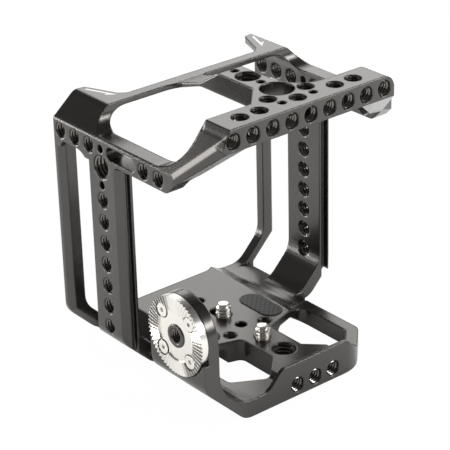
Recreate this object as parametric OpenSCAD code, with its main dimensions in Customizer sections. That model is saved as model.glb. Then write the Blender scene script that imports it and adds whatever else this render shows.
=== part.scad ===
// Camera cage: one machined frame with accessory rails, a toothed rosette on its front left
// lug, two captive camera screws in its base and two rubber grip pads.
// Millimetres. Places are measured from the left outer face, the front face and the underside,
// and the finished model is moved so that its origin is the middle of its footprint.

/* [Cage] */
// Width over the two side walls
cage_w = 109.7; // [106:0.1:116]
// Depth from the front face to the rear bars
cage_d = 97.5; // [96:0.1:104]
// Height from the underside to the top of the front bar
cage_h = 118.8; // [117:0.1:126]
// Thickness of the side walls
wall = 7; // [6.6:0.1:7.6]
// Distance from the left outer face to the lens axis
lens_x = 48.8; // [48:0.1:50]
// Pitch of every row of threaded holes
hole_pitch = 9.2; // [9:0.1:9.4]

/* [Base] */
// Thickness of the raised deck under the camera
deck_t = 9.4; // [9.2:0.1:11]
// Half the width of the raised deck
deck_half = 23; // [22:0.1:24]
// Height of the tray rim round the two front openings
tray_t = 7.3; // [6.8:0.1:7.8]
// Thickness of the low floor between the deck and the side slopes
floor_t = 3.1; // [2.6:0.1:3.6]
// Height of the upstand along the front
lip_h = 14.7; // [13:0.1:16]
// Thickness of the upstand along the front
lip_t = 1.5; // [1.2:0.1:2]

/* [Side walls] */
// Underside of the side arms
arm_z = 89.4; // [88:0.1:90]
// Top of the side arms
arm_top = 98.4; // [98:0.1:99]
// Width of the flat on each accessory rail
rail_flat = 15.7; // [15:0.1:16.4]
// Width over the tips of each accessory rail
rail_w = 21.2; // [20.8:0.1:21.6]

/* [Top] */
// Height of the rear frame
rear_h = 107.2; // [106:0.1:108]
// Thickness of the rear frame
rear_t = 2.1; // [1.8:0.1:2.6]
// Height of the front bar's section
bar_h = 9.1; // [8.8:0.1:9.4]
// Depth of the front bar's section
bar_d = 13.4; // [13:0.1:14]

/* [Holes] */
// Diameter of the small camera thread
quarter_d = 6.35; // [6.2:0.01:6.4]
// Diameter of the large tripod thread
three_eighths_d = 9.525; // [9.3:0.005:9.6]
// Diameter of the locating pin holes
pin_d = 3.4; // [3.2:0.1:3.6]
// Distance of each locating pin hole from its threaded hole
pin_offset = 7.6; // [7.4:0.1:7.8]
// Width of the countersink round each threaded hole
countersink = 0.3; // [0.2:0.05:0.4]

/* [Rosette] */
// Diameter of the toothed disc
rosette_d = 31.8; // [31:0.1:32]
// Thickness of the toothed disc
rosette_t = 3.3; // [3:0.1:3.6]
// Number of teeth
rosette_teeth = 60; // [48:4:72]
// Spacing of the four rosette screws, along and across
rosette_square = 15.8; // [15.4:0.1:16.2]

/* [Camera screws] */
// Distance from the front face to the front screw
front_screw_y = 31.5; // [31.2:0.1:32]
// Distance from the front face to the rear screw, at rest
rear_screw_y = 55.9; // [55.6:0.1:56.5]
// How far the rear screw slides in its slot
slot_travel = 3.8; // [3:0.1:4.2]
// How far the front screw can be pushed up
screw_float = 0.8; // [0.5:0.1:1]
// How far each screw stands above the deck
screw_reach = 5.3; // [4.8:0.1:5.6]

/* [Pads] */
// Length of each rubber pad
pad_l = 21.2; // [20:0.1:22]
// Width of each rubber pad
pad_w = 9.2; // [8.6:0.1:9.8]

/* [Hidden] */

$fn = 48;
over = 1;
fit_gap = 0.05;
arc_step = 9;
silver = [0.86, 0.85, 0.83];
black = [0.3, 0.3, 0.3];
rubber = [0.2, 0.2, 0.2];

// Lower and upper slopes of the side walls
slope_run = 13.2;
inner_run = 21.5;
upper_run = 9.5;
bend_r = 8;
inner_bend_r = 10;
foot_x = 23;

// Side wall
column_y = 66.9;
column_half = 9.9;
column_rear_r = 8.3;
rail_gap = 2.8;
rail_tip = 0.4;
rail_neck_half = 7.9;
rail_top = 88.2;
rear_bar_t = 4.1;
rear_bar_bevel = 2.2;
rear_bar_z = 86.5;
arm_front = 22.6;
arm_front_r = 3;
window_floor = 16.3;
window_r = 2;
rear_bar_y = cage_d - rear_bar_t;

// Rosette lug on the front left corner
lug_in = 1.2;
lug_out = 3.5;
ledge_out = 5.9;
lug_y = 16.1;
lug_z = 36.9;
lug_r = 16;
lug_fillet_r = 16.5;
ledge_top = 30;
ledge_gap = 0.5;
spigot_d = 9.3;
spigot_gap = 0.4;
thread6_d = 6;
rosette_plain_d = 20.6;
rosette_step = 0.8;
tooth_depth = 0.72;
tooth_lift = 0.05;
rosette_hole_d = 3.2;
rosette_head_d = 5.4;
rosette_head_t = 1.9;
rosette_recess_d = 6.4;
rosette_recess = 2.4;
rosette_shank_d = 3;
rosette_shank_l = 5;
rosette_end_gap = 0.5;
groove_over = 0.2;
rosette_slot_w = 1.9;
rosette_slot_t = 1.1;
rosette_out = lug_out + rosette_t;

// Base
deck_front = 34;
deck_rear = 90.5;
deck_fall = 9.3;
deck_fall_r = 3;
rear_step_r = 5;
rim_out = 35.75;
rim_in = 30.7;
rim_rear = 45;
rim_fall = 8;
rim_flare = 9;
rim_corner = 13.8;
rim_corner_r = 5;
rim_front_r = 15;
front_bar_rear = 8.4;
tongue_half = 7.5;
tongue_flare = 8.4;
tongue_r = 3;
opening_rear = 42.8;
opening_slant = 7.5;
opening_r = 3;
opening_right_cut = 7.5;
opening_left_cut_x = 12.4;
opening_left_cut_y = 7.1;
step_half = 14.6;
step_run = 1.6;
step_foot = 20;
rib_half = 13.3;
pocket_front = 36;
pocket_rear = 84;
pocket_shift = 0.9;
pocket_r = 2;
lip_low_half = 23.8;
lip_high_half = 16.7;
lip_r = 6;
sill_r = 4;

// Holes in the base
tripod_y = 18.6;
twin_y = 40.8;
twin_x = 9;
twin_d = 5.2;
index_y = 44.8;
index_d = 4.8;
rear_hole_y = 71.8;
front_hole_z = 4.9;
front_hole_l = 7;

// Captive screws and their washers
screw_bore_d = 11.8;
washer_bore_d = 13;
washer_d = 12.6;
washer_t = 0.8;
screw_bore = 4.4;
head_d = 11;
head_t = 3.1;
head_gap = 0.1;
screw_clear = 0.2;
neck_d = 5.2;
neck_rise = 0.3;
tip_r = 1.4;
slot_cut = 1.2;
coin_slot_w = 1.6;

// Pads
pad_recess = 1.1;
pad_proud = 0.4;
pad_gap = 0.1;
pad_x = 16.5;
pad_y = 51.8;

// Front bar and centre block
bar_x0 = 7.7;
bar_x1 = 91.3;
bar_y0 = 2.6;
bar_left_top = 11;
bar_left_z = 112;
bar_end_r = 5.6;
bar_low_r = 2;
bar_hole_shift = 0.6;
bar_hole_z = 114;
bar_row_y = 9.4;
bar_row2_y = 15.4;
block_x0 = 42.5;
block_x1 = 54;
block_rear = 47.3;
block_t = 8.4;
block_fillet_r = 14;
block_nose = 27.3;
block_nose_run = 10.6;
ramp_y = 58.5;
ramp_z = 111.8;
ramp_r = 10;
port_y = 20.9;
port_d = 13.3;
top_socket_y = 37.7;
strut_rear = 35;
strut_lean = 5.3;
strut_foot_y = 26.2;
strut_rise = 5.9;
strut_nose_left = 9.3;
strut_nose_right = 18.4;
strut_top_right = 23.2;
strut_fillet_r = 17;
strut_foot_r = 6;
strut_bevel = 0.35;
strut_length = 30;
strut_shoulder = 2.5;

// Rear frame
beam_y0 = 74.4;
beam_y1 = 79.1;
pad_front = 66;
pad_front_r = 7.3;
pad_rear = 97.5;
pad_corner_r = 1.5;
pad_waist_r = 1.5;
pad_fillet_r = 9;
pad_corner_x = 14.1;
pad_corner_y = 95.2;
pad_waist_x = 19.7;
pad_waist_y = 81.6;
arch_r = 11;
apron_r = 5;
apron_run = 8;

// Arm holes
arm_hole_z = 93.6;
arm_rear_y = 93;
arm_front_y = 40.5;
arm_slot_y0 = 45.1;
arm_slot_y1 = 63.2;
arm_slot_z0 = 91.1;
arm_slot_z1 = 96.6;
arm_slot_r = 2.7;
arm_chamfer = 0.9;
arm_chamfer_run = 0.5;
column_socket_z = 86.6;
column_top_z = 72.6;
column_holes = 7;

// Each corner of an outline is [x, y] or [x, y, radius]
function unit(v) = v / norm(v);
function turn(a, b) = atan2(cross(a, b), a * b);
function place(c) = [c.x, c.y];
function corner_arc(before, at, after, r) =
    let (u = unit(before - at), v = unit(after - at), half = abs(turn(u, v)) / 2,
        centre = at + unit(u + v) * r / sin(half),
        start = at + u * r / tan(half) - centre, end = at + v * r / tan(half) - centre,
        sweep = turn(start, end), steps = max(1, ceil(abs(sweep) / arc_step)))
    [for (i = [0 : steps]) let (a = sweep * i / steps)
        centre + [start.x * cos(a) - start.y * sin(a), start.x * sin(a) + start.y * cos(a)]];
function outline(c) = let (n = len(c)) [for (i = [0 : n - 1])
    each len(c[i]) == 2 || c[i].z == 0 ? [place(c[i])]
        : corner_arc(place(c[(i + n - 1) % n]), place(c[i]), place(c[(i + 1) % n]), c[i].z)];
module shape(corners) polygon(outline(corners));

// An outline drawn in X and Z, Y and Z or X and Y, carried from one place to another
module along_y(from, to) translate([0, to, 0]) rotate([90, 0, 0]) linear_extrude(to - from) children();
module along_x(from, to) translate([from, 0, 0]) rotate([90, 0, 90]) linear_extrude(to - from) children();
module along_z(from, to) translate([0, 0, from]) linear_extrude(to - from) children();
module on_right() translate([cage_w, 0, 0]) mirror([1, 0, 0]) children();
module to_origin() translate([(rosette_out - cage_w) / 2, -cage_d / 2, 0]) children();

// A threaded hole from a mouth at the origin down -Z, open at both ends, with its countersinks
module tapped(d, l, through = true) {
    translate([0, 0, -l - (through ? over : 0)]) cylinder(d = d, h = l + over + (through ? over : 0));
    sink(d);
    if (through) translate([0, 0, -l]) mirror([0, 0, 1]) sink(d);
}
module sink(d) translate([0, 0, -countersink])
    cylinder(d1 = d, d2 = d + 4 * countersink, h = 2 * countersink);

// One side wall, drawn as the left one: arm, column with its rail, rear bar and lower slope
module wall_section() along_y(0, cage_d) shape([[0, arm_z], [0, slope_run, bend_r],
    [slope_run, 0, bend_r], [foot_x, 0], [foot_x, floor_t],
    [inner_run - floor_t, floor_t, inner_bend_r], [wall, inner_run - wall, inner_bend_r],
    [wall, arm_z]]);

module rail_profile() polygon([
    for (side = [1, -1]) each let (run = (rail_w - rail_flat) / 2, points = [
        [0, rail_flat / 2], [run, rail_w / 2], [run + rail_tip, rail_w / 2],
        [run + rail_tip, rail_neck_half], [run + rail_tip + rail_gap, rail_neck_half],
        [run + rail_tip + rail_gap, column_half], [foot_x, column_half]])
        [for (i = side == 1 ? [0 : 6] : [6 : -1 : 0]) [points[i].x, column_y + side * points[i].y]]]);

module column() intersection() {
    wall_section();
    linear_extrude(rail_top) rail_profile();
}

module rear_bar() difference() {
    intersection() {
        wall_section();
        along_x(0, foot_x) polygon([[rear_bar_y, 0], [cage_d, 0], [cage_d, arm_z], [rear_bar_y, arm_z]]);
    }
    along_z(slope_run, rear_bar_z) rear_bevel();
    translate([0, 0, slope_run]) rotate([0, 135, 0]) linear_extrude(2 * slope_run) rear_bevel();
}

module rear_bevel() translate([0, rear_bar_y]) rotate(45) square(rear_bar_bevel * sqrt(2), center = true);

module arm() difference() {
    intersection() {
        along_x(0, wall) shape([[arm_front + 2 * arm_front_r, arm_z, arm_front_r],
            [column_y - rail_flat / 2, arm_z, arm_front_r], [column_y - rail_flat / 2, rail_top - over],
            [column_y + rail_flat / 2, rail_top - over], [column_y + rail_flat / 2, arm_z, column_rear_r],
            [rear_bar_y, arm_z, arm_front_r], [rear_bar_y, rear_bar_z], [cage_d, rear_bar_z],
            [cage_d, arm_top], [arm_front, arm_top, arm_front_r],
            [arm_front, arm_z + arm_front_r, arm_front_r]]);
        along_y(0, cage_d) polygon([[0, rail_top - over], [0, arm_top - arm_chamfer],
            [arm_chamfer_run, arm_top], [wall, arm_top], [wall, rail_top - over]]);
    }
    along_x(-over, wall + over) shape([for (p = [[arm_slot_y0, arm_slot_z0], [arm_slot_y1, arm_slot_z0],
        [arm_slot_y1, arm_slot_z1], [arm_slot_y0, arm_slot_z1]]) [p.x, p.y, arm_slot_r]]);
}

module side_holes() {
    for (y = [for (i = [0 : 2]) arm_rear_y - i * hole_pitch, for (i = [0 : 1]) arm_front_y - i * hole_pitch])
        from_side(y, arm_hole_z) tapped(quarter_d, wall);
    for (i = [0 : column_holes - 1])
        from_side(column_y, column_top_z - i * hole_pitch) tapped(quarter_d, wall);
    from_side(column_y, column_socket_z) tapped(three_eighths_d, wall);
    for (side = [1, -1]) from_side(column_y, column_socket_z + side * pin_offset)
        translate([0, 0, -wall - over]) cylinder(d = pin_d, h = wall + 2 * over);
}
module from_side(y, z) translate([0, y, z]) rotate([0, -90, 0]) children();

module side_wall() {
    column();
    rear_bar();
    arm();
}

// The strut that carries the front bar's end, drawn as the left one
module strut(nose, top, shoulder, bevel) let (bar_rear = bar_y0 + bar_d) difference() {
    intersection() {
        along_z(arm_z, cage_h) polygon([[0, strut_rear], [0, arm_front], shoulder, [nose, bar_y0],
            [top + wall, bar_y0], [top + wall, bar_rear], [wall, bar_rear + strut_lean], [wall, strut_rear]]);
        along_x(0, top + wall) shape([[strut_rear, arm_z], [strut_foot_y, arm_z, arm_front_r],
            [strut_foot_y - strut_rise, arm_z + strut_rise, strut_foot_r], [bar_y0, cage_h - bar_h],
            [bar_y0, cage_h], [bar_rear, cage_h], [bar_rear + strut_lean, arm_top, strut_fillet_r],
            [strut_rear, arm_top]]);
        along_y(0, strut_rear) polygon([[0, arm_z], [0, arm_top - arm_chamfer], [top, cage_h],
            [top + wall, cage_h], [top + wall, cage_h - bar_h], [wall, arm_z]]);
    }
    if (bevel) let (slope = unit([arm_top - arm_chamfer - cage_h, 0, top]),
        front = unit([bar_y0 - arm_front, -nose, 0]))
        on_plane([0, arm_front, arm_top - arm_chamfer], unit(cross(front, slope)), unit(slope + front))
            translate([-strut_length, -strut_length, -strut_bevel]) cube(2 * strut_length);
}

// Places its children at a point, with their X and Z turned to two given directions
module on_plane(at, x, z) let (y = cross(z, x))
    multmatrix([[x.x, y.x, z.x, at.x], [x.y, y.y, z.y, at.y], [x.z, y.z, z.z, at.z]]) children();

// The base: deck, low floor and tray
module deck_section() shape([[slope_run, 0], [cage_w - slope_run, 0], [cage_w - slope_run, floor_t],
    [lens_x + deck_half + deck_fall, floor_t, inner_bend_r], [lens_x + deck_half, deck_t, deck_fall_r],
    [lens_x - deck_half, deck_t, deck_fall_r],
    [max(slope_run, lens_x - deck_half - deck_fall), floor_t, inner_bend_r / 2], [slope_run, floor_t]]);

module base_plan() shape([[0, column_y - column_half], [lens_x - rim_out, column_y - column_half, sill_r],
    [lens_x - rim_out, deck_front], [lens_x + rim_out, deck_front],
    [lens_x + rim_out, rim_rear, rim_corner_r],
    [lens_x + rim_out + rim_flare, column_y - column_half],
    [cage_w, column_y - column_half], each window_notch(cage_w, -1), [cage_w, cage_d],
    [lens_x + deck_half + deck_fall, cage_d, rear_step_r],
    [lens_x + deck_half - deck_fall_r, deck_rear, rear_step_r],
    [lens_x - deck_half + deck_fall_r, deck_rear, rear_step_r],
    [lens_x - deck_half - deck_fall, cage_d, rear_step_r], [0, cage_d],
    each [for (i = [3 : -1 : 0]) window_notch(0, 1)[i]]]);

// Where the rear window of one side wall cuts into the floor
function window_notch(outer, side) = [[outer, column_y + column_half],
    [outer + side * window_floor, column_y + column_half, window_r],
    [outer + side * window_floor, rear_bar_y, window_r], [outer, rear_bar_y]];

module tray_plan(inset = 0) shape([[lens_x - rim_out + inset, inset],
    [lens_x + rim_out - rim_corner - inset / 2, inset, rim_front_r],
    [lens_x + rim_out - inset, rim_corner + inset / 2, rim_corner_r],
    [lens_x + rim_out - inset, rim_rear], [lens_x - rim_out + inset, rim_rear]]);

// One of the two large openings in front of the deck, drawn as the right one
module opening_plan(cut_x, cut_y) shape([[tongue_half + tongue_flare, front_bar_rear],
    [rim_in - cut_x, front_bar_rear, opening_r], [rim_in, front_bar_rear + cut_y, opening_r],
    [rim_in, opening_rear, opening_r], [tongue_half, opening_rear - opening_slant, tongue_r],
    [tongue_half, front_bar_rear + tongue_flare]]);

module on_right_half() translate([lens_x, 0, 0]) children();
module on_left_half() translate([lens_x, 0, 0]) mirror([1, 0, 0]) children();
module on_both_halves() {
    on_right_half() children();
    on_left_half() children();
}

module base() difference() {
    intersection() {
        base_block();
        along_y(0, cage_d) shape([[0, slope_run], [slope_run, 0, bend_r], [cage_w - slope_run, 0, bend_r],
            [cage_w, slope_run], [cage_w, lip_h], [0, lip_h]]);
    }
    on_right_half() along_z(-over, deck_t + over) opening_plan(opening_right_cut, opening_right_cut);
    on_left_half() along_z(-over, deck_t + over) opening_plan(opening_left_cut_x, opening_left_cut_y);
    on_both_halves() underside_pocket();
    base_holes();
}

module base_block() {
    intersection() {
        along_y(deck_front, cage_d) deck_section();
        along_z(0, deck_t) base_plan();
    }
    along_z(0, tray_t) tray_plan();
    along_z(0, deck_t) translate([lens_x - tongue_half - over, lip_t])
        square([2 * (tongue_half + over), deck_front - lip_t + over]);
    along_y(lip_t, front_bar_rear + tongue_flare) step_section();
    on_both_halves() along_x(rim_in - step_run - rim_corner_r + over, rim_out)
        polygon([[deck_front, 0], [deck_front, tray_t], [rim_rear, tray_t],
            [rim_rear + rim_fall, floor_t], [rim_rear + rim_fall, 0]]);
    lip();
}

// The front bar's top, which steps down on both sides of the tripod hole
module step_section() shape([[lens_x - step_foot, 0], [lens_x + step_foot, 0], [lens_x + step_foot, tray_t],
    [lens_x + step_half + step_run, tray_t, tongue_r], [lens_x + step_half, deck_t],
    [lens_x - step_half, deck_t], [lens_x - step_half - step_run, tray_t, tongue_r],
    [lens_x - step_foot, tray_t]]);

// Hollow under the raised deck, beside the rib that holds the screws
module underside_pocket() along_y(pocket_front, pocket_rear) shape([[rib_half, -over],
    [rib_half, deck_t - floor_t, pocket_r], [deck_half - pocket_shift, deck_t - floor_t],
    [rim_in, 0], [rim_in, -over]]);

module lip() intersection() {
    along_z(0, lip_h) difference() {
        tray_plan();
        tray_plan(lip_t);
    }
    along_y(0, rim_corner + rim_corner_r) shape([[lens_x - rim_out, 0], [lens_x + rim_out, 0],
        [lens_x + rim_out, tray_t], [lens_x + lip_low_half, tray_t, lip_r],
        [lens_x + lip_high_half, lip_h, lip_r], [lens_x - lip_high_half, lip_h, lip_r],
        [lens_x - lip_low_half, tray_t, lip_r], [lens_x - rim_out, tray_t]]);
}

module base_holes() {
    translate([lens_x, tripod_y, deck_t]) tapped(three_eighths_d, deck_t);
    for (side = [1, -1]) translate([lens_x + side * twin_x, twin_y, deck_t]) tapped(twin_d, deck_t);
    for (y = [index_y, rear_hole_y])
        translate([lens_x, y, -over]) cylinder(d = index_d, h = deck_t + 2 * over);
    for (i = [-1 : 1]) translate([lens_x + i * hole_pitch, 0, front_hole_z]) rotate([90, 0, 0])
        tapped(quarter_d, front_hole_l, through = false);
    screw_seat(front_screw_y, 0);
    screw_seat(rear_screw_y - screw_clear, slot_travel);
    for (side = [1, -1]) translate([lens_x + side * pad_x, pad_y, deck_t - pad_recess])
        stadium(pad_w + 2 * pad_gap, pad_l + 2 * pad_gap, pad_recess + over);
}

// Straight slot of round ends, centred, its length along Y
module stadium(w, l, h) {
    for (side = [1, -1]) translate([0, side * (l - w) / 2, 0]) cylinder(d = w, h = h);
    translate([-w / 2, (w - l) / 2, 0]) cube([w, l - w, h]);
}

// Bore, washer pocket and clearance hole of a captive screw; the rear one is drawn out along Y
module screw_seat(y, travel) translate([lens_x, y + travel / 2, 0]) {
    translate([0, 0, -over]) slot_or_bore(screw_bore_d, travel, screw_bore + over);
    translate([0, 0, screw_bore]) slot_or_bore(washer_bore_d, travel, washer_t + screw_float);
    translate([0, 0, screw_bore]) slot_or_bore(quarter_d + 2 * screw_clear, travel, deck_t);
}
module slot_or_bore(d, travel, h) if (travel == 0) cylinder(d = d, h = h); else stadium(d, d + travel, h);

// The lug on the front left corner, with the spigot that centres the rosette
module lug() {
    difference() {
        intersection() {
            along_y(0, lug_y + lug_r) shape([[-ledge_out, slope_run + ledge_out, bend_r],
                [slope_run, 0, bend_r], [lens_x - rim_in, 0],
                [lens_x - rim_in, tray_t], [lug_in, tray_t, lug_fillet_r],
                [lug_in, lug_z + lug_r], [-lug_out, lug_z + lug_r], [-lug_out, ledge_top],
                [-ledge_out, ledge_top]]);
            along_x(-ledge_out, lens_x) union() {
                translate([lug_y, lug_z]) circle(r = lug_r);
                square([lug_y + lug_r, lug_z]);
            }
        }
        at_rosette() cylinder(d = rosette_d + 2 * ledge_gap, h = rosette_t + over);
    }
    at_rosette() cylinder(d = spigot_d, h = rosette_t - spigot_gap);
}

module lug_holes() at_rosette() {
    translate([0, 0, rosette_t - spigot_gap]) tapped(thread6_d, lug_out + lug_in + rosette_t - spigot_gap);
    on_square() translate([0, 0, -rosette_shank_l + rosette_t - rosette_recess - fit_gap])
        cylinder(d = rosette_shank_d + 2 * fit_gap, h = rosette_shank_l);
}

// Places its children on the face of the lug, with Z pointing out of the cage
module at_rosette() translate([-lug_out, lug_y, lug_z]) rotate([0, -90, 0]) children();
module on_square() for (i = [0 : 3]) at_corner(i) children();
module at_corner(i) rotate(45 + 90 * i) translate([rosette_square / sqrt(2), 0, 0]) children();

// The front bar with the block and ramp that carry the top sockets
module front_bar() {
    along_y(bar_y0, bar_y0 + bar_d) shape([[bar_x0, cage_h - bar_h, bar_low_r],
        [bar_x1, cage_h - bar_h, bar_low_r], [bar_x1, cage_h, bar_end_r],
        [bar_left_top, cage_h], [bar_x0, bar_left_z]]);
    intersection() {
        along_z(rear_h - rear_t, cage_h) shape([[block_x0 - block_nose_run, bar_y0 + bar_d - over],
            [block_x0 - block_nose_run, bar_y0 + bar_d], [block_x0, block_nose],
            [block_x0, beam_y0, apron_r], [block_x0 - apron_run, beam_y0], [block_x0 - apron_run, cage_d],
            [block_x1 + apron_run, cage_d], [block_x1 + apron_run, beam_y0], [block_x1, beam_y0, apron_r],
            [block_x1, bar_y0 + bar_d, block_fillet_r],
            [block_x1 + 2 * block_fillet_r, bar_y0 + bar_d],
            [block_x1 + 2 * block_fillet_r, bar_y0 + bar_d - over]]);
        along_x(0, cage_w) shape([[bar_y0, cage_h - block_t], [bar_y0, cage_h], [block_rear, cage_h],
            [ramp_y, ramp_z, ramp_r], [beam_y0, rear_h], [beam_y0 + rear_t, rear_h],
            [beam_y0 + rear_t, rear_h - rear_t], [beam_y0, rear_h - rear_t],
            [ramp_y, cage_h - block_t, ramp_r]]);
    }
}

module bar_holes() {
    for (i = [-4 : 4]) translate([lens_x + bar_hole_shift + i * hole_pitch, bar_y0, bar_hole_z])
        rotate([90, 0, 0]) tapped(quarter_d, bar_d);
    for (i = [-3, -2, 0, 2, 3]) on_bar(i * hole_pitch, bar_row_y) tapped(quarter_d, bar_h);
    for (side = [1, -1]) {
        on_bar(side * hole_pitch, bar_row2_y) tapped(quarter_d, bar_h);
        on_bar(side * pin_offset, bar_row_y) pin_hole(bar_h);
        on_bar(0, top_socket_y + side * pin_offset) pin_hole(block_t);
    }
    on_bar(0, top_socket_y) tapped(three_eighths_d, block_t);
    on_bar(0, port_y) translate([0, 0, -bar_h - over]) cylinder(d = port_d, h = bar_h + 2 * over);
}
module on_bar(x, y) translate([lens_x + x, y, cage_h]) children();
module pin_hole(l) translate([0, 0, -l - over]) cylinder(d = pin_d, h = l + 2 * over);

// The thin frame at the rear: two corner pads on slopes and the beam between them
module rear_section() difference() {
    shape([[0, arm_z], [0, rear_h - upper_run, bend_r / 2], [upper_run, rear_h, bend_r / 2],
        [cage_w - upper_run, rear_h, bend_r / 2], [cage_w, rear_h - upper_run, bend_r / 2], [cage_w, arm_z]]);
    shape([[wall, arm_z - over], [wall, rear_h - rear_t, arch_r], [cage_w - wall, rear_h - rear_t, arch_r],
        [cage_w - wall, arm_z - over]]);
}

module rear_plan() shape([[0, pad_front], [wall, pad_front], [wall, beam_y0, pad_fillet_r],
    [cage_w - wall, beam_y0, pad_fillet_r], [cage_w - wall, pad_front], [cage_w, pad_front],
    [cage_w, pad_rear], [cage_w - pad_corner_x, pad_corner_y, pad_corner_r],
    [cage_w - pad_waist_x, pad_waist_y, pad_waist_r], [cage_w - pad_waist_x - opening_r, beam_y1, opening_r],
    [pad_waist_x + opening_r, beam_y1, opening_r], [pad_waist_x, pad_waist_y, pad_waist_r],
    [pad_corner_x, pad_corner_y, pad_corner_r], [0, pad_rear]]);

module rear_frame() intersection() {
    along_y(pad_front, pad_rear) rear_section();
    along_z(arm_z, rear_h) rear_plan();
    union() {
        along_x(0, cage_w) shape([[pad_front, arm_z], [pad_rear, arm_z], [pad_rear, rear_h],
            [beam_y0, rear_h], [beam_y0, arm_top, pad_front_r], [pad_front, arm_top]]);
        along_z(arm_top, rear_h) translate([pad_waist_x, pad_front])
            square([cage_w - 2 * pad_waist_x, beam_y1 - pad_front]);
    }
}

module cage_frame() color(black) to_origin() difference() {
    union() {
        side_wall();
        on_right() side_wall();
        strut(strut_nose_left, bar_left_top, [0, arm_front], true);
        on_right() strut(strut_nose_right, strut_top_right, [wall, arm_front - strut_shoulder], false);
        base();
        lug();
        front_bar();
        rear_frame();
    }
    side_holes();
    on_right() side_holes();
    bar_holes();
    lug_holes();
}

// The toothed disc. Every groove is a straight V that deepens outward from the centre.
module rosette() color(silver) to_origin() at_rosette() difference() {
    cylinder(d = rosette_d, h = rosette_t);
    for (i = [0 : rosette_teeth - 1]) rotate(i * 360 / rosette_teeth) tooth_groove();
    translate([0, 0, rosette_t - rosette_step]) cylinder(d = rosette_plain_d, h = rosette_t);
    translate([0, 0, -over]) cylinder(d = spigot_d + 2 * fit_gap, h = rosette_t + 2 * over);
    on_square() {
        translate([0, 0, -over]) cylinder(d = rosette_hole_d, h = rosette_t + over);
        translate([0, 0, rosette_t - rosette_recess]) cylinder(d = rosette_recess_d, h = rosette_t);
    }
}
module tooth_groove() polyhedron(
    [for (r = [rosette_plain_d / 2 - groove_over, rosette_d / 2 + groove_over])
        let (depth = tooth_depth * r * 2 / rosette_d)
        each [[r, 0, rosette_t - depth], [r, depth + tooth_lift, rosette_t + tooth_lift],
            [r, -depth - tooth_lift, rosette_t + tooth_lift]]],
    [[0, 1, 2], [3, 5, 4], [0, 3, 4, 1], [2, 5, 3, 0], [1, 4, 5, 2]]);

module rosette_screw(i) color(silver) to_origin() at_rosette() at_corner(i) {
    translate([0, 0, rosette_t - rosette_recess]) difference() {
        cylinder(d = rosette_head_d, h = rosette_head_t);
        translate([0, 0, rosette_head_t - rosette_slot_t])
            cylinder(d = rosette_slot_w, h = rosette_head_t, $fn = 6);
    }
    translate([0, 0, rosette_t - rosette_recess - rosette_shank_l + rosette_end_gap])
        cylinder(d = rosette_shank_d, h = rosette_shank_l - rosette_end_gap);
}
module rosette_screw_1() rosette_screw(0);
module rosette_screw_2() rosette_screw(1);
module rosette_screw_3() rosette_screw(2);
module rosette_screw_4() rosette_screw(3);

// A captive camera screw: slotted head, plain neck in the washer, domed thread above the deck
module camera_screw(y) color(silver) to_origin() translate([lens_x, y, 0]) difference() {
    let (head_top = screw_bore - head_gap, thread_foot = deck_t + neck_rise)
        rotate_extrude() polygon(outline([[0, head_top - head_t], [head_d / 2 - head_gap, head_top - head_t],
            [head_d / 2, head_top - head_t + head_gap], [head_d / 2, head_top], [neck_d / 2, head_top],
            [neck_d / 2, thread_foot], [quarter_d / 2, thread_foot],
            [quarter_d / 2, deck_t + screw_reach, tip_r], [0, deck_t + screw_reach]]));
    translate([-head_d, -coin_slot_w / 2, 0])
        cube([2 * head_d, coin_slot_w, screw_bore - head_gap - head_t + slot_cut]);
}
module camera_screw_front() camera_screw(front_screw_y);
module camera_screw_rear() camera_screw(rear_screw_y);

module retaining_washer(y) color(silver) to_origin() translate([lens_x, y, screw_bore]) difference() {
    cylinder(d = washer_d, h = washer_t);
    translate([0, 0, -over]) cylinder(d = neck_d + 2 * fit_gap, h = washer_t + 2 * over);
}
module retaining_washer_front() retaining_washer(front_screw_y);
module retaining_washer_rear() retaining_washer(rear_screw_y);

module grip_pad(side) color(rubber) to_origin()
    translate([lens_x + side * pad_x, pad_y, deck_t - pad_recess])
        stadium(pad_w, pad_l, pad_recess + pad_proud);
module grip_pad_left() grip_pad(-1);
module grip_pad_right() grip_pad(1);

cage_frame();
rosette();
rosette_screw_1();
rosette_screw_2();
rosette_screw_3();
rosette_screw_4();
camera_screw_front();
camera_screw_rear();
retaining_washer_front();
retaining_washer_rear();
grip_pad_left();
grip_pad_right();
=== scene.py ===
# %% [markdown]
# # A camera cage
# The cage is one block of aluminium, milled until only a frame is left, then blasted with fine beads and
# anodised black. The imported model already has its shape. This lesson adds what the solids leave out: threads
# in every tapped hole, threaded camera screws, the arrow marks, and a finish for each of the three materials.

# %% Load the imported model
import bpy, bmesh
from math import pi
from mathutils import Matrix, Vector


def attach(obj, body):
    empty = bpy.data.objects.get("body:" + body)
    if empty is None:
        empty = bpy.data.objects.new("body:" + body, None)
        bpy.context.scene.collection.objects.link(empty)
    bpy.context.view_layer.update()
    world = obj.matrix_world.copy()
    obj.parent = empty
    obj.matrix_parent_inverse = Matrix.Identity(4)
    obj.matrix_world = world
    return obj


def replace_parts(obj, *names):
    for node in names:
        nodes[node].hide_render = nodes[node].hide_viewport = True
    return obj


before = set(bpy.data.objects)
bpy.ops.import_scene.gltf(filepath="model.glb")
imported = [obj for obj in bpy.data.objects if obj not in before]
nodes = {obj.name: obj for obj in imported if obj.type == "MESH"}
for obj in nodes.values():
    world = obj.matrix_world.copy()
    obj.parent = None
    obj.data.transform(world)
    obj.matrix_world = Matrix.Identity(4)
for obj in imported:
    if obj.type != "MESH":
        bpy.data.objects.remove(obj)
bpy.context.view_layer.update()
MM = 0.001
print("Packed nodes:", sorted(nodes))

# %% [markdown]
# ## Working in the maker's own measures
# A drawing of this cage would count millimetres from the outer left face, the front face and the underside.
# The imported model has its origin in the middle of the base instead. One small function goes from the drawing
# to the scene, so that the numbers below stay readable.

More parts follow.
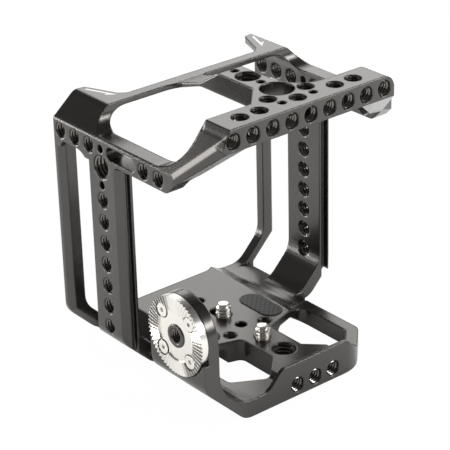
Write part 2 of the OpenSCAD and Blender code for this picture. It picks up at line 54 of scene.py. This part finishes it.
# %% From the drawing to the scene
def place(x, y, z):
    return Vector((x - 51.45, y - 48.75, z)) * MM

lens_x = 48.8
print("Lens axis crosses the base at", place(lens_x, 18.6, 0))

# %% [markdown]
# ## The camera
# A long lens far away keeps the cage's edges almost parallel, as in a catalogue picture. The three directions
# were found by fitting a pinhole camera to corners and holes of the object, so they are given as they came
# out of that fit.

# %% Camera at the catalogue's viewing angle
lens = bpy.data.cameras.new("catalogue_camera")
lens.lens, lens.sensor_width = 149.66, 36
lens.clip_start, lens.clip_end = 0.05, 20
camera = bpy.data.objects.new("catalogue_camera", lens)
right = Vector((0.77006, -0.63754, -0.02348))
up = Vector((0.29694, 0.32560, 0.89767))
back = Vector((-0.56465, -0.69823, 0.44004))
camera.matrix_world = Matrix.LocRotScale(Vector((-0.42225, -0.51415, 0.3779)),
    Matrix((right, up, back)).transposed().to_quaternion(), None)
bpy.context.scene.collection.objects.link(camera)
bpy.context.scene.camera = camera
bpy.context.scene.view_settings.view_transform = "Standard"
print("Camera stands", round(camera.location.length, 3), "m from the base")

# %% [markdown]
# ## Helpers for materials
# Colours are written as they look on a screen, in sRGB hex, and turned to linear by one function. A second
# one adds a node, sets its options and plugs in its inputs: a value is set, and an output socket is linked.

# %% Colour and node helpers
def linear(code):
    parts = [int(code[i:i + 2], 16) / 255 for i in (1, 3, 5)]
    return [c / 12.92 if c <= 0.04045 else ((c + 0.055) / 1.055) ** 2.4 for c in parts] + [1.0]

def add_node(tree, kind, inputs=None, **settings):
    node = tree.nodes.new(kind)
    for name, value in settings.items():
        setattr(node, name, value)
    for name, value in (inputs or {}).items():
        socket = node.inputs[name]
        if isinstance(value, bpy.types.NodeSocket):
            tree.links.new(value, socket)
        else:
            socket.default_value = value
    return node

def new_material(name):
    material = bpy.data.materials.new(name)
    material.use_nodes = True
    material.node_tree.nodes.clear()
    return material, material.node_tree

def finish_material(tree, shader):
    add_node(tree, "ShaderNodeOutputMaterial", {"Surface": shader.outputs[0]})

def waves_per_metre(width_mm):
    return 1 / (width_mm * MM)

def wave_scale(period_mm):
    """Scale of a wave texture with crests period_mm apart: it draws the sine of 20 times place times scale."""
    return 2 * pi / 20 * waves_per_metre(period_mm)

print("Mid grey in linear light:", [round(c, 3) for c in linear("#808080")[:3]])

# %% [markdown]
# ## Bead-blasted black anodised aluminium
# Blasting leaves dents of about 0.1 mm, which scatter the light into a satin sheen. The black oxide grown in
# them is clear on top and takes dye, so it looks dark grey from above and nearly mirror-like at a glancing
# angle. Deburring breaks every edge, and there the sheen turns into a thin bright line. The Bevel node bends
# the normals within about a millimetre of an edge, and the model's mesh isn't touched. Inside the tapped
# holes the beads don't reach: the threads keep the tap's smoother cut and sharp crests, so the same finish is
# made twice, with less roughness for them. Their copy also gets a lighter colour, a painted highlight that
# brightens the thread crests in the holes.

# %% Black anodised aluminium
def black_anodised(name, dark, light, smooth, rough, dent_mm, edge_mm):
    material, tree = new_material(name)
    where = add_node(tree, "ShaderNodeTexCoord").outputs["Object"]
    grain = add_node(tree, "ShaderNodeTexNoise",
        {"Vector": where, "Scale": waves_per_metre(grain_mm), "Detail": 2.0})
    cloud = add_node(tree, "ShaderNodeTexNoise",
        {"Vector": where, "Scale": waves_per_metre(cloud_mm), "Detail": 3.0})
    edge = add_node(tree, "ShaderNodeBevel", {"Radius": edge_mm * MM}, samples=6)
    dents = add_node(tree, "ShaderNodeBump", {"Height": grain.outputs[0], "Normal": edge.outputs[0],
        "Strength": 1.0, "Distance": dent_mm * MM})
    tint = add_node(tree, "ShaderNodeMix", {"Factor": cloud.outputs[0]}, data_type="RGBA")
    tint.inputs["A"].default_value = linear(dark)
    tint.inputs["B"].default_value = linear(light)
    sheen = add_node(tree, "ShaderNodeMapRange", {"Value": cloud.outputs[0], "To Min": smooth, "To Max": rough})
    finish_material(tree, add_node(tree, "ShaderNodeBsdfPrincipled", {"Base Color": tint.outputs["Result"],
        "Metallic": 0.94, "Roughness": sheen.outputs[0], "Normal": dents.outputs[0]}))
    return material

grain_mm = 0.35  # real dents are near 0.1 mm, drawn coarser so that they show at all
cloud_mm = 18  # the dye takes a little unevenly, over a stretch of this size
anodised = black_anodised("bead_blasted_black_anodised_aluminium", dark="#4f4d4b", light="#585654",
    smooth=0.21, rough=0.27, dent_mm=0.0012, edge_mm=1.1)
# painted highlight: the threads' colours are lighter than the blasted ones, to brighten their crests
tapped = black_anodised("tapped_black_anodised_aluminium_painted_lighter", dark="#6f6c68", light="#787571",
    smooth=0.12, rough=0.16, dent_mm=0.0004, edge_mm=0.06)
nodes["cage_frame"].data.materials.clear()
nodes["cage_frame"].data.materials.append(anodised)
print("Grain of", grain_mm, "mm gives a noise scale of", round(waves_per_metre(grain_mm)))

# %% [markdown]
# ## Turned stainless steel
# The toothed disc and the screws are turned from bar. The cutter leaves rings, too fine to see one by one, so
# they are drawn as soft streaks about three millimetres apart. The steel itself is bright and slightly warm.
# On the disc the rings run round its own axis, along X through the lug, and on the screws round Z. Shade is
# painted into the grooves, darker on the screws: an ambient occlusion node darkens the colour of what lies
# within half a millimetre of another face: teeth, threads and sockets.

# %% Stainless steel
def stainless(name, centre, turn, ring_mm, groove_shade):
    material, tree = new_material(name)
    where = add_node(tree, "ShaderNodeTexCoord").outputs["Object"]
    centred = add_node(tree, "ShaderNodeMapping",
        {"Vector": where, "Location": -Vector(centre)}, vector_type="POINT")
    turned = add_node(tree, "ShaderNodeMapping",
        {"Vector": centred.outputs[0], "Rotation": turn}, vector_type="POINT")
    rings = add_node(tree, "ShaderNodeTexWave", {"Vector": turned.outputs[0],
        "Scale": wave_scale(ring_mm), "Distortion": 1.2, "Detail": 2.0, "Detail Scale": 3.0},
        wave_type="RINGS", rings_direction="Z")
    stain = add_node(tree, "ShaderNodeTexNoise",
        {"Vector": where, "Scale": waves_per_metre(stain_mm), "Detail": 3.0})
    edge = add_node(tree, "ShaderNodeBevel", {"Radius": steel_edge_mm * MM}, samples=6)
    marks = add_node(tree, "ShaderNodeBump", {"Height": rings.outputs["Fac"], "Normal": edge.outputs[0],
        "Strength": 0.15, "Distance": 0.01 * MM})
    tint = add_node(tree, "ShaderNodeMix", {"Factor": stain.outputs[0]}, data_type="RGBA")
    tint.inputs["A"].default_value = linear("#f0eeea")
    tint.inputs["B"].default_value = linear("#e2ddd5")
    # painted shade: ambient occlusion darkens the steel's colour in teeth, threads and sockets
    ao_painted_shade = add_node(tree, "ShaderNodeAmbientOcclusion", {"Distance": groove_mm * MM}, samples=8)
    painted_shade_amount = add_node(tree, "ShaderNodeMapRange",
        {"Value": ao_painted_shade.outputs["AO"], "From Min": 0.25, "From Max": 0.75})
    painted_shade_tint = add_node(tree, "ShaderNodeMix", {"Factor": painted_shade_amount.outputs[0]}, data_type="RGBA")
    painted_shade_tint.inputs["A"].default_value = linear(groove_shade)
    tree.links.new(tint.outputs["Result"], painted_shade_tint.inputs["B"])
    rough = add_node(tree, "ShaderNodeMapRange", {"Value": stain.outputs[0], "To Min": 0.2, "To Max": 0.3})
    finish_material(tree, add_node(tree, "ShaderNodeBsdfPrincipled", {"Base Color": painted_shade_tint.outputs["Result"],
        "Metallic": 1.0, "Roughness": rough.outputs[0], "Normal": marks.outputs[0]}))
    return material

stain_mm, steel_edge_mm, groove_mm = 3, 0.12, 0.5
# the colour given for the grooves is the painted shade in teeth, threads and sockets
disc_steel = stainless("turned_stainless_steel_disc", centre=place(-6.8, 16.1, 36.9), turn=(0, pi / 2, 0),
    ring_mm=3.14, groove_shade="#a09890")
screw_steel = stainless("turned_stainless_steel_screws", centre=place(lens_x, 31.5, 14), turn=(0, 0, 0),
    ring_mm=2.51, groove_shade="#5b554f")
for name in nodes:
    if name.startswith("rosette"):
        nodes[name].data.materials.clear()
        nodes[name].data.materials.append(disc_steel)
    if name.startswith(("retaining_washer", "camera_screw")):
        nodes[name].data.materials.clear()
        nodes[name].data.materials.append(screw_steel)
print("Steel on", sum(n.startswith(("rosette", "retaining", "camera_screw")) for n in nodes), "nodes")

# %% [markdown]
# ## Moulded rubber with a cross-hatch
# The two pads keep the camera from turning. Their mould was knurled: two sets of grooves, 1.9 mm apart, cross
# at right angles, diagonal to the pad. Two wave textures, turned 45 degrees each way, give the grooves, and
# the smaller of the two heights leaves square studs between them.

# %% Rubber pads
groove_period_mm, groove_depth_mm, pad_edge_mm = 1.9, 0.12, 0.2
rubber, tree = new_material("moulded_cross_hatched_rubber")
where = add_node(tree, "ShaderNodeTexCoord").outputs["Object"]
grooves = []
for angle in (pi / 4, -pi / 4):
    turned = add_node(tree, "ShaderNodeMapping", {"Vector": where, "Rotation": (0, 0, angle)})
    wave = add_node(tree, "ShaderNodeTexWave", {"Vector": turned.outputs[0],
        "Scale": wave_scale(groove_period_mm)}, wave_type="BANDS", bands_direction="X")
    grooves.append(wave.outputs["Fac"])
studs = add_node(tree, "ShaderNodeMath", operation="MINIMUM")
tree.links.new(grooves[0], studs.inputs[0])
tree.links.new(grooves[1], studs.inputs[1])
edge = add_node(tree, "ShaderNodeBevel", {"Radius": pad_edge_mm * MM}, samples=6)
relief = add_node(tree, "ShaderNodeBump", {"Height": studs.outputs[0], "Normal": edge.outputs[0],
    "Strength": 0.6, "Distance": groove_depth_mm * MM})
# painted shade: the grooves are coloured darker and the stud tops lighter
tint = add_node(tree, "ShaderNodeMix", {"Factor": studs.outputs[0]}, data_type="RGBA")
tint.inputs["A"].default_value = linear("#2b2a29")
tint.inputs["B"].default_value = linear("#4a4847")
finish_material(tree, add_node(tree, "ShaderNodeBsdfPrincipled", {"Base Color": tint.outputs["Result"],
    "Roughness": 0.62, "IOR": 1.52, "Normal": relief.outputs[0]}))
for name in ("grip_pad_left", "grip_pad_right"):
    nodes[name].data.materials.clear()
    nodes[name].data.materials.append(rubber)
print("Rubber on the two pads")

# %% [markdown]
# ## Threads
# The solids have plain holes at the screw's outer size. A real tapped hole has a ridge that winds round its
# wall. One zigzag line, a tooth for each turn, is spun once round the axis while it rises by one pitch. That
# closes every tooth onto the next one, and gives the whole helix at once. Two cuts then leave it as long as
# the wall. Where a hole crosses another, the ridge stops, as it does in the metal.

# %% A helix by spin
STEPS = 28
DEPTH_SHARE = 0.55  # depth of the ridge, in pitches
CREST_SHARES = 0.42, 0.58  # where the flat crest begins and ends, in pitches
JOIN = 0.004  # points this near, in millimetres, are one
WALL_GAP = 0.005  # the ridge's foot stays this far off the hole's wall, so that two faces don't share a place

def thread(bm, outer_r, pitch, length, inside=True):
    """Helical ridge in millimetres along Z from 0 to length, inside a hole or on a rod of radius outer_r."""
    inner_r = outer_r - DEPTH_SHARE * pitch
    flat, deep = (outer_r, inner_r) if inside else (inner_r, outer_r)
    start = -1.5 * pitch
    teeth = int(length / pitch) + 4
    points = []
    for i in range(teeth):
        foot = start + i * pitch
        points += [(flat, foot)] + [(deep, foot + share * pitch) for share in CREST_SHARES]
    points.append((flat, start + teeth * pitch))
    verts = [bm.verts.new((r, 0, z)) for r, z in points]
    edges = [bm.edges.new(pair) for pair in zip(verts, verts[1:])]
    bmesh.ops.spin(bm, geom=verts + edges, cent=(0, 0, 0), axis=(0, 0, 1), dvec=(0, 0, pitch / STEPS),
        angle=2 * pi, steps=STEPS, use_merge=False)
    bmesh.ops.remove_doubles(bm, verts=bm.verts, dist=JOIN)
    for z, side in ((0, -1), (length, 1)):
        bmesh.ops.bisect_plane(bm, geom=bm.verts[:] + bm.edges[:] + bm.faces[:], dist=1e-5,
            plane_co=(0, 0, z), plane_no=(0, 0, side), clear_outer=True)
    for face in bm.faces:
        middle = face.calc_center_median()
        outward = face.normal.dot(Vector((middle.x, middle.y, 0)))
        if (outward > 0) == inside:
            face.normal_flip()

def along(axis):
    return Vector((0, 0, 1)).rotation_difference(Vector(axis)).to_matrix().to_4x4()

def threads(name, outer_r, pitch, stretches):
    """One mesh with a ridge for each stretch: (start point in drawing millimetres, direction, length)."""
    whole = bmesh.new()
    for start, axis, length in stretches:
        one = bmesh.new()
        thread(one, outer_r - WALL_GAP, pitch, length)
        one.transform(Matrix.Translation(place(*start)) @ along(axis) @ Matrix.Scale(MM, 4))
        mesh = bpy.data.meshes.new("turn")
        one.to_mesh(mesh)
        one.free()
        whole.from_mesh(mesh)
        bpy.data.meshes.remove(mesh)
    mesh = bpy.data.meshes.new(name)
    whole.to_mesh(mesh)
    whole.free()
    piece = bpy.data.objects.new(name, mesh)
    bpy.context.scene.collection.objects.link(piece)
    mesh.materials.append(tapped)
    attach(piece, "cage")
    print(name, "has", len(stretches), "stretches and", len(mesh.polygons), "faces")
    return piece

# %% [markdown]
# The cage's tapped holes come in straight rows, 9.2 mm apart. The three sizes are the two photographic
# threads, 20 and 16 turns to the inch, and metric ones in the base and under the toothed disc.

# %% Threads of the front bar
pitch_holes = 9.2
inch_20, inch_16 = 25.4 / 20, 25.4 / 16
quarter_r, three_eighths_r = 25.4 / 8, 25.4 * 3 / 16
sunk = 0.32  # the ridge starts this far under the face, as after countersinking
bar = []
for i in range(-4, 5):
    x = lens_x + 0.6 + i * pitch_holes
    if abs(i) == 4:
        bar.append(((x, 2.6 + sunk, 114), (0, 1, 0), 12.7))
    elif abs(i) == 1:
        bar.append(((x, 2.6 + sunk, 114), (0, 1, 0), 9.0))
    else:
        bar.append(((x, 2.6 + sunk, 114), (0, 1, 0), 3.1))
        bar.append(((x, 12.8, 114), (0, 1, 0), 2.9))
for i, y in ((-3, 9.4), (-2, 9.4), (-1, 15.4), (0, 9.4), (1, 15.4), (2, 9.4), (3, 9.4)):
    x = lens_x + i * pitch_holes
    bar.append(((x, y, 118.8 - sunk), (0, 0, -1), 1.3))
    bar.append(((x, y, 109.7 + sunk), (0, 0, 1), 0.8))
threads("threads_front_bar", quarter_r, inch_20, bar)

# %% Threads of the side walls and of the base
rows = []
for face, inward in ((0, 1), (109.7, -1)):
    spots = [(93 - i * pitch_holes, 93.6) for i in range(3)]
    spots += [(40.5 - i * pitch_holes, 93.6) for i in range(2)]
    spots += [(66.9, 72.6 - i * pitch_holes) for i in range(7)]
    rows += [((face + inward * sunk, y, z), (inward, 0, 0), 6.36) for y, z in spots]
rows += [((lens_x + i * pitch_holes, sunk, 4.9), (0, 1, 0), 6.6) for i in (-1, 0, 1)]
threads("threads_walls_and_base", quarter_r, inch_20, rows)

sockets = [((sunk, 66.9, 86.6), (1, 0, 0), 6.36), ((109.7 - sunk, 66.9, 86.6), (-1, 0, 0), 6.36),
    ((lens_x, 18.6, 9.4 - sunk), (0, 0, -1), 8.76), ((lens_x, 37.7, 118.8 - sunk), (0, 0, -1), 7.76)]
threads("threads_large_sockets", three_eighths_r, inch_16, sockets)
threads("threads_metric_base", 2.6, 0.8,
    [((lens_x + side * 9, 40.8, 9.4 - sunk), (0, 0, -1), 8.76) for side in (1, -1)])
threads("threads_metric_lug", 3.0, 1.0, [((-6.4 + sunk, 16.1, 36.9), (1, 0, 0), 6.9)])

# %% [markdown]
# ## The captive camera screws
# Each screw is turned from stainless bar: a wide head with a coin slot, a thin neck that the washer rides on,
# and a short threaded end with a domed tip. The core is a line spun round the axis, and the ridge is the same
# helix as in the holes, with its faces outward. Its last millimetre is drawn in to the tip. A boolean cuts
# the slot.

# %% Screws with a real thread
head_bottom, thread_foot, thread_length = 1.2, 5.35, 8.6
drawn_in, drawn_share = 1.0, 0.16  # the last millimetre narrows by 16 percent
coin_slot = Vector((14, 1.6, 2.4))

def camera_screw(name, body, y):
    bm = bmesh.new()
    thread(bm, quarter_r, inch_20, thread_length, inside=False)
    for vert in bm.verts:
        narrowed = 1 - drawn_share * max(0.0, vert.co.z - (thread_length - drawn_in))
        vert.co.x *= narrowed
        vert.co.y *= narrowed
    bmesh.ops.translate(bm, verts=bm.verts, vec=(0, 0, thread_foot))
    ridge = bpy.data.meshes.new("ridge")
    bm.to_mesh(ridge)
    bm.free()
    bm = bmesh.new()
    core_r = quarter_r - DEPTH_SHARE * inch_20 + 0.02
    # radius and height along the head, the neck, the core and the domed tip
    line = [(0, head_bottom), (5.3, head_bottom), (5.5, 1.4), (5.5, 4.3), (2.6, 4.3), (2.6, 5.3),
        (core_r, thread_foot), (core_r, 13.9), (core_r - 0.12, 14.3), (core_r - 0.5, 14.6), (core_r - 1.1, 14.7), (0, 14.7)]
    verts = [bm.verts.new((r, 0, z)) for r, z in line]
    edges = [bm.edges.new(pair) for pair in zip(verts, verts[1:])]
    bmesh.ops.spin(bm, geom=verts + edges, cent=(0, 0, 0), axis=(0, 0, 1),
        angle=2 * pi, steps=40, use_merge=True)
    bmesh.ops.remove_doubles(bm, verts=bm.verts, dist=0.001)
    bmesh.ops.recalc_face_normals(bm, faces=bm.faces)
    core = bpy.data.meshes.new("core")
    bm.to_mesh(core)
    bm.free()
    slot_bm = bmesh.new()
    bmesh.ops.create_cube(slot_bm, size=1,
        matrix=Matrix.LocRotScale(Vector((0, 0, head_bottom)), None, coin_slot))
    slot_mesh = bpy.data.meshes.new("slot")
    slot_bm.to_mesh(slot_mesh)
    slot_bm.free()
    cutter = bpy.data.objects.new("slot", slot_mesh)
    head = bpy.data.objects.new("head", core)
    for thing in (cutter, head):
        bpy.context.scene.collection.objects.link(thing)
    cut = head.modifiers.new("coin_slot", "BOOLEAN")
    cut.operation, cut.object, cut.solver = "DIFFERENCE", cutter, "EXACT"
    bpy.context.view_layer.update()
    slotted = bpy.data.meshes.new_from_object(head.evaluated_get(bpy.context.evaluated_depsgraph_get()))
    bm = bmesh.new()
    bm.from_mesh(slotted)
    bm.from_mesh(ridge)
    bm.transform(Matrix.Translation(place(lens_x, y, 0)) @ Matrix.Scale(MM, 4))
    mesh = bpy.data.meshes.new(name)
    bm.to_mesh(mesh)
    bm.free()
    for thing in (cutter, head):
        bpy.data.objects.remove(thing)
    piece = bpy.data.objects.new(name, mesh)
    bpy.context.scene.collection.objects.link(piece)
    mesh.materials.clear()
    mesh.materials.append(screw_steel)
    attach(piece, body)
    print(name, "has", len(mesh.polygons), "faces")
    return piece

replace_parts(camera_screw("threaded_camera_screw_front", "screw_front", 31.5), "camera_screw_front")
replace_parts(camera_screw("threaded_camera_screw_rear", "screw_rear", 55.9), "camera_screw_rear")

# %% [markdown]
# ## Arrow marks
# A thin line arrow is engraved by laser on each rear corner and points to where the camera slides in. The
# laser burns the dye off, so the line is pale and matt. Each is a flat strip, a fiftieth of a millimetre
# proud of the metal, with half an arrowhead.

# %% Laser-marked arrows
burn_mm = 0.5
pale, tree = new_material("laser_marked_bare_aluminium")
where = add_node(tree, "ShaderNodeTexCoord").outputs["Object"]
burn = add_node(tree, "ShaderNodeTexNoise", {"Vector": where, "Scale": waves_per_metre(burn_mm), "Detail": 3.0})
tint = add_node(tree, "ShaderNodeMix", {"Factor": burn.outputs[0]}, data_type="RGBA")
tint.inputs["A"].default_value = linear("#fbfaf8")
tint.inputs["B"].default_value = linear("#efedea")
finish_material(tree, add_node(tree, "ShaderNodeBsdfPrincipled",
    {"Base Color": tint.outputs["Result"], "Roughness": 0.7}))

def arrow(name, tail, tip, side):
    """Arrow on the corner pad, from tail to tip (x, y in drawing millimetres), its half head on one side."""
    run = Vector(tip) - Vector(tail)
    ahead = run.normalized()
    across = Vector((-ahead.y, ahead.x)) * side
    corners = [Vector(tail), Vector(tip), Vector(tip) - ahead * barb_back + across * barb_out,
        Vector(tip) - ahead * barb_root + across * line_width, Vector(tail) + across * line_width]
    bm = bmesh.new()
    face = bm.faces.new([bm.verts.new(place(c.x, c.y, pad_z)) for c in corners])
    grown = bmesh.ops.extrude_face_region(bm, geom=[face])
    top = [v for v in grown["geom"] if isinstance(v, bmesh.types.BMVert)]
    bmesh.ops.translate(bm, vec=(0, 0, proud * MM), verts=top)
    bmesh.ops.recalc_face_normals(bm, faces=bm.faces)
    mesh = bpy.data.meshes.new(name)
    bm.to_mesh(mesh)
    bm.free()
    piece = bpy.data.objects.new(name, mesh)
    bpy.context.scene.collection.objects.link(piece)
    mesh.materials.append(pale)
    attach(piece, "cage")
    print(name, "is", round(run.length, 1), "mm long")

pad_z, proud = 107.2, 0.02
line_width, barb_back, barb_out, barb_root = 0.85, 4.6, 2.4, 3.9
arrow("arrow_mark_left", (13.3, 93.1), (18.6, 80.2), -1)
arrow("arrow_mark_right", (97.7, 92.9), (93.6, 81.8), 1)

# %% [markdown]
# ## Floor, light and background
# The floor is pale and matt. The camera sees it glow nearly white, as a lit table does in a catalogue
# picture, with a trace of the cage's shadow. Reflections see mostly the lit floor itself, darker close to the
# cage. The background works the same way: white for the camera, bright for the matt things that it fills, and
# dim in the metal's reflections, so that they keep their contrast. A wide panel above and behind gives the
# tops their sheen, one on the left lights the slopes, a low one behind draws lines along the edges, and a
# flat one in front lights the front bar's upper edge.

# %% Floor
bm = bmesh.new()
bmesh.ops.create_grid(bm, x_segments=1, y_segments=1, size=4)
mesh = bpy.data.meshes.new("floor")
bm.to_mesh(mesh)
bm.free()
floor = bpy.data.objects.new("floor", mesh)
bpy.context.scene.collection.objects.link(floor)
table, tree = new_material("pale_table")
ray = add_node(tree, "ShaderNodeLightPath")
seen_share, mirrored_share = 0.98, 0.1
direct = add_node(tree, "ShaderNodeMath",
    {0: ray.outputs["Is Camera Ray"], 1: seen_share}, operation="MULTIPLY")
mirrored = add_node(tree, "ShaderNodeMath",
    {0: ray.outputs["Is Glossy Ray"], 1: mirrored_share}, operation="MULTIPLY")
share = add_node(tree, "ShaderNodeMath", {0: direct.outputs[0], 1: mirrored.outputs[0]}, operation="MAXIMUM")
matt = add_node(tree, "ShaderNodeBsdfDiffuse", {"Color": linear("#f4f4f4")})
glow = add_node(tree, "ShaderNodeEmission", {"Color": (1, 1, 1, 1), "Strength": 1.0})
finish_material(tree, add_node(tree, "ShaderNodeMixShader",
    {"Fac": share.outputs[0], 1: matt.outputs[0], 2: glow.outputs[0]}))
mesh.materials.append(table)
print("Floor is 8 m square")

# %% World and lamps
world = bpy.data.worlds.new("studio")
bpy.context.scene.world = world
world.use_nodes = True
tree = world.node_tree
tree.nodes.clear()
ray = add_node(tree, "ShaderNodeLightPath")
dim = add_node(tree, "ShaderNodeBackground", {"Color": (1, 1, 1, 1), "Strength": 0.14})
white = add_node(tree, "ShaderNodeBackground", {"Color": (1, 1, 1, 1), "Strength": 1.0})
fill_share = 0.85
spread = add_node(tree, "ShaderNodeMath",
    {0: ray.outputs["Is Diffuse Ray"], 1: fill_share}, operation="MULTIPLY")
lit = add_node(tree, "ShaderNodeMath",
    {0: ray.outputs["Is Camera Ray"], 1: spread.outputs[0]}, operation="MAXIMUM")
both = add_node(tree, "ShaderNodeMixShader", {"Fac": lit.outputs[0], 1: dim.outputs[0], 2: white.outputs[0]})
add_node(tree, "ShaderNodeOutputWorld", {"Surface": both.outputs[0]})

middle = Vector((0, 0, 0.06))

def panel(name, spot, width, height, watts):
    light = bpy.data.lights.new(name, "AREA")
    light.shape, light.size, light.size_y, light.energy = "RECTANGLE", width, height, watts
    lamp = bpy.data.objects.new(name, light)
    lamp.location = spot
    lamp.rotation_euler = (middle - Vector(spot)).to_track_quat("-Z", "Y").to_euler()
    bpy.context.scene.collection.objects.link(lamp)
    print(name, "gives", watts, "W")

panel("top_panel", (0.8, 0.7, 0.62), 1.0, 0.8, 6)
panel("left_panel", (-0.9, 0.32, 0.12), 0.5, 0.35, 4)
panel("edge_panel", (-0.5, 0.95, 0.12), 0.5, 0.2, 7)
panel("front_panel", (0.62, -0.78, 0.46), 0.9, 0.2, 8)
